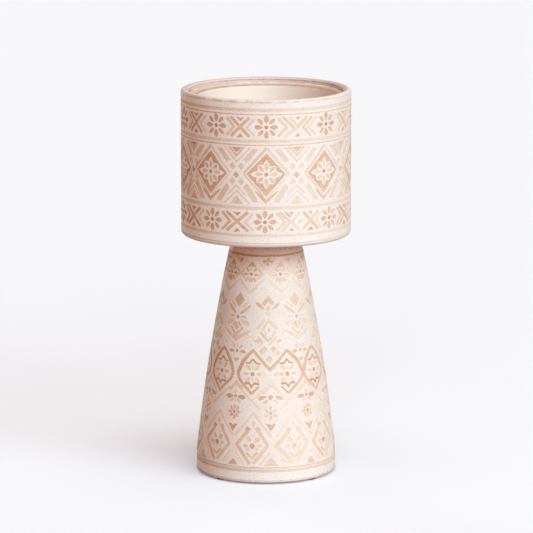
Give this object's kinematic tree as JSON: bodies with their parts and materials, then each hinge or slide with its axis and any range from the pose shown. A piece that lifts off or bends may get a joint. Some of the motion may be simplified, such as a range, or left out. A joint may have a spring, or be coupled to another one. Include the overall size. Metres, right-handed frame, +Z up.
{
  "type": "ceramic plant stand",
  "caption": "Drum planter with a lift-out liner on a tapered hollow pedestal, in fired clay with bands of tan geometric and flower ornament. It holds a potted plant off the floor.",
  "frame": {"origin": "on the floor, under the common axis of the pedestal and the drum", "axes": "+Z up along the axis; the front of the picture looks along +Y; the part is round, so X and Y are alike"},
  "size_m": [0.25, 0.25, 0.5719],
  "materials": {
    "slip_clay": "matt off-white slip over sandy clay, with tan ornament",
    "cream_glaze": "satin cream glaze",
    "cork": "pressed cork",
    "rubber": "moulded grey rubber",
    "felt": "brown felt"
  },
  "bodies": {
    "pedestal": {"pedestal_cone": "slip_clay", "foot_pad_1": "felt", "foot_pad_2": "felt", "foot_pad_3": "felt", "foot_pad_4": "felt"},
    "seat": {"seat_ring": "cork"},
    "drum": {"planter_drum": "slip_clay"},
    "liner": {"liner_pot": "cream_glaze"},
    "plug": {"drain_plug": "rubber"}
  },
  "joints": [
    {"name": "drum_turn", "type": "hinge", "parent": "pedestal", "child": "seat", "pos_m": [0, 0, 0.3556], "axis": [0, 0, 1], "continuous": true},
    {"name": "drum_lift", "type": "slide", "parent": "seat", "child": "drum", "axis": [0, 0, 1], "range_m": [0, 0.06]},
    {"name": "liner_lift", "type": "slide", "parent": "drum", "child": "liner", "axis": [0, 0, 1], "range_m": [0, 0.19]},
    {"name": "plug_pull", "type": "slide", "parent": "drum", "child": "plug", "axis": [0, 0, 1], "range_m": [0, 0.014]}
  ]
}
